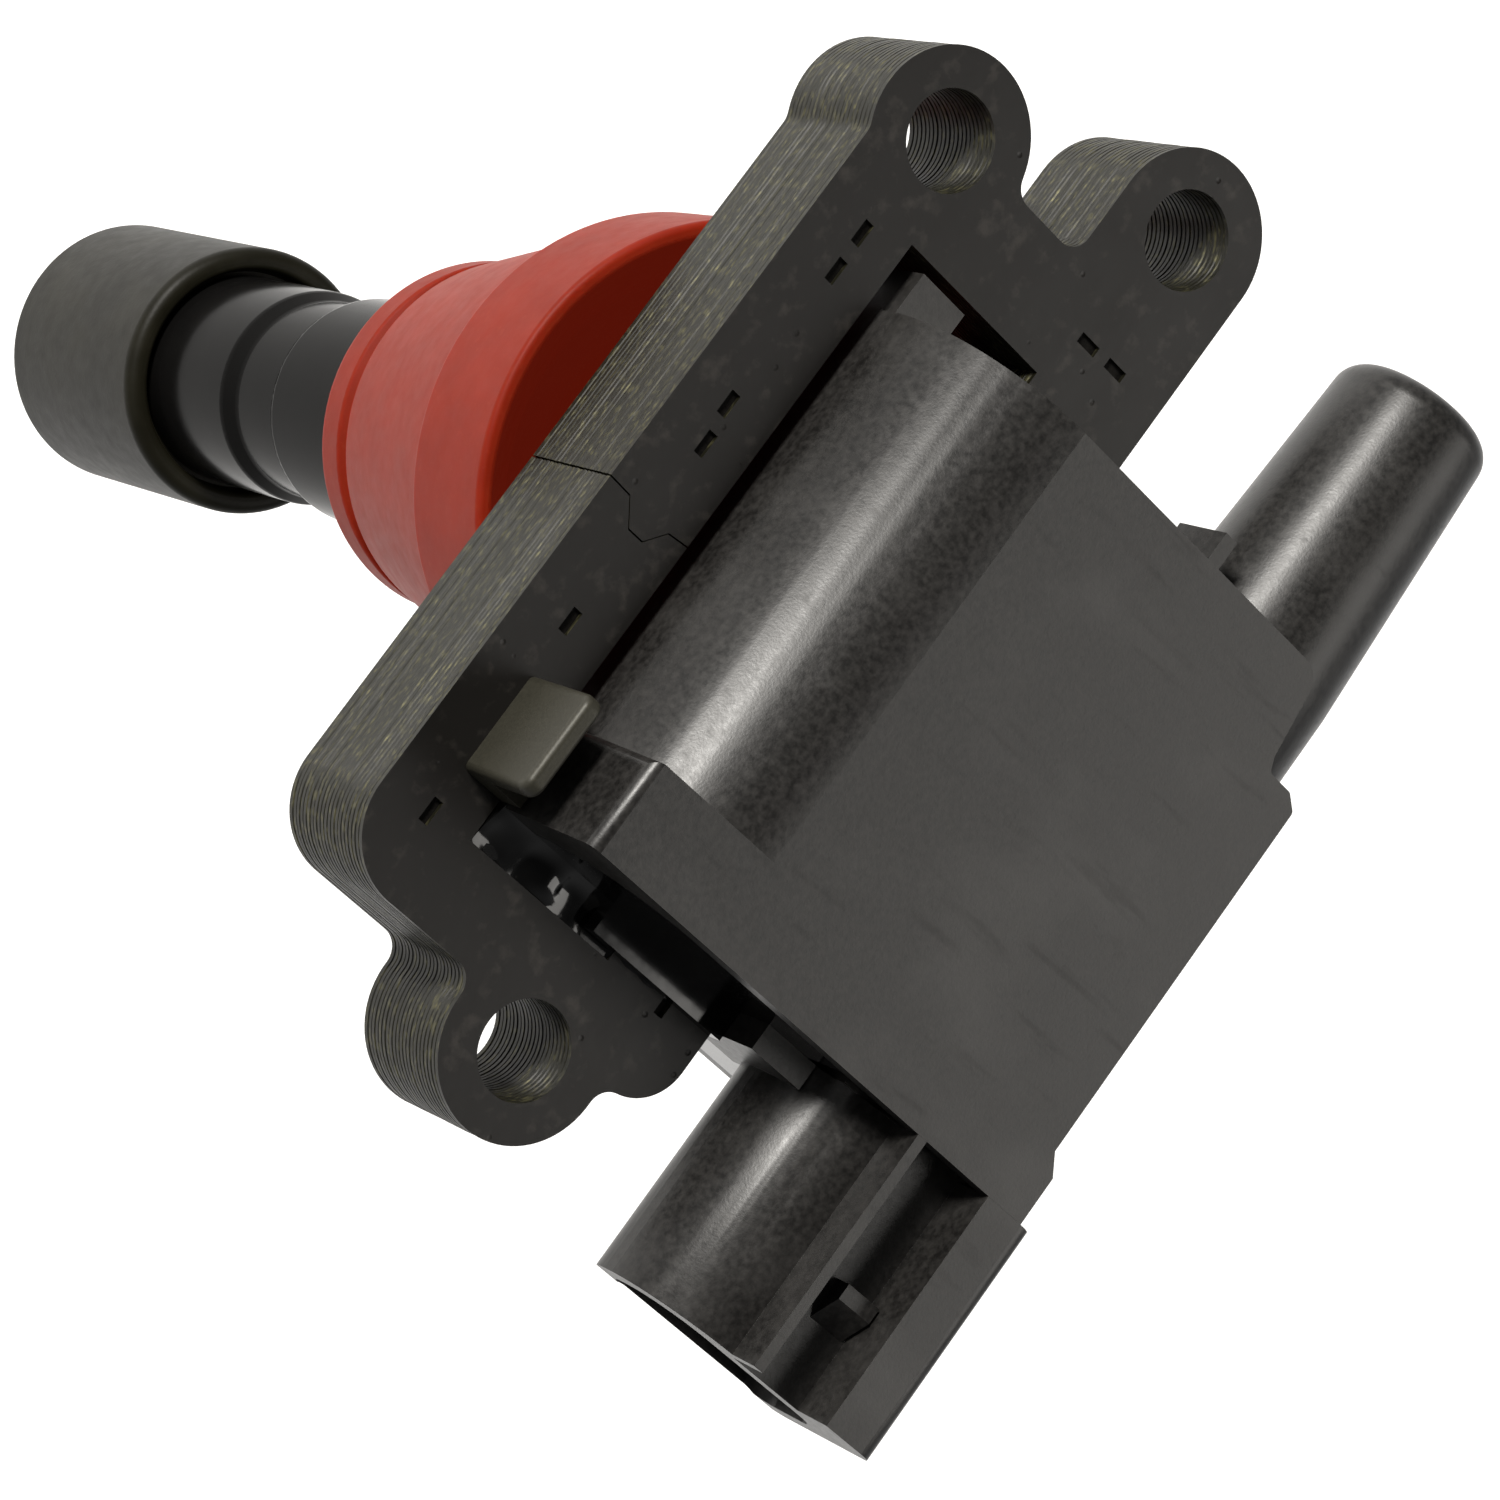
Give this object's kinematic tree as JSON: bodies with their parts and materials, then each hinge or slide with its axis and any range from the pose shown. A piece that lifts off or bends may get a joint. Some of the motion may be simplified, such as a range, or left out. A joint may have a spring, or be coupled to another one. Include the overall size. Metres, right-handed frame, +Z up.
{
  "type": "ignition coil",
  "caption": "Coil-on-plug ignition coil with a laminated bolt-on core, connector shroud, side high-voltage tower, red well seal and rubber-booted plug stem.",
  "frame": {"origin": "centre of the plug boot's open end, on the stem's axis", "axes": "+Z up the stem to the case, away from the spark plug; +X towards the high-voltage tower, with the connector's mouth facing -X; +Y towards the long outer bar of the core"},
  "size_m": [0.0859, 0.0595, 0.1249],
  "materials": {
    "core_paint": "semi-gloss dark olive paint over laminations",
    "case_plastic": "satin moulded grain",
    "gloss_plastic": "high gloss",
    "epoxy": "glossy cast resin",
    "boot_rubber": "matte rubber",
    "seal_silicone": "matte red silicone",
    "bobbin_plastic": "natural moulded",
    "copper": "enamelled copper wire",
    "brass": "turned",
    "tinned": "tinned blades",
    "spring_steel": "drawn wire",
    "ceramic": "fired",
    "magnet": "sintered",
    "board": "solder mask",
    "chip": "moulded",
    "aluminium": "stamped"
  },
  "bodies": {
    "coil": {"plug_boot": "boot_rubber", "stem_tube": "gloss_plastic", "contact_spring": "spring_steel", "suppressor_resistor": "ceramic", "stem_terminal": "brass", "well_seal": "seal_silicone", "core_upper": "core_paint", "core_lower": "core_paint", "core_magnet": "magnet", "core_clip": "core_paint", "primary_bobbin": "bobbin_plastic", "primary_winding": "copper", "secondary_bobbin": "bobbin_plastic", "secondary_winding": "copper", "coil_case": "case_plastic", "connector_shell": "case_plastic", "connector_pins": "tinned", "heat_sink": "aluminium", "igniter_board": "board", "igniter_chip": "chip", "primary_leads": "copper", "tower_terminal": "brass", "hv_diode": "chip", "potting_epoxy": "epoxy", "hv_tower": "case_plastic"},
    "contact": {"plug_contact": "brass"}
  },
  "joints": [
    {"name": "contact_slide", "type": "slide", "parent": "coil", "child": "contact", "axis": [0, 0, 1], "range_m": [0, 0.004], "stiffness_N_per_m": 350, "springref_m": -0.004, "deforming": ["contact_spring"]}
  ]
}
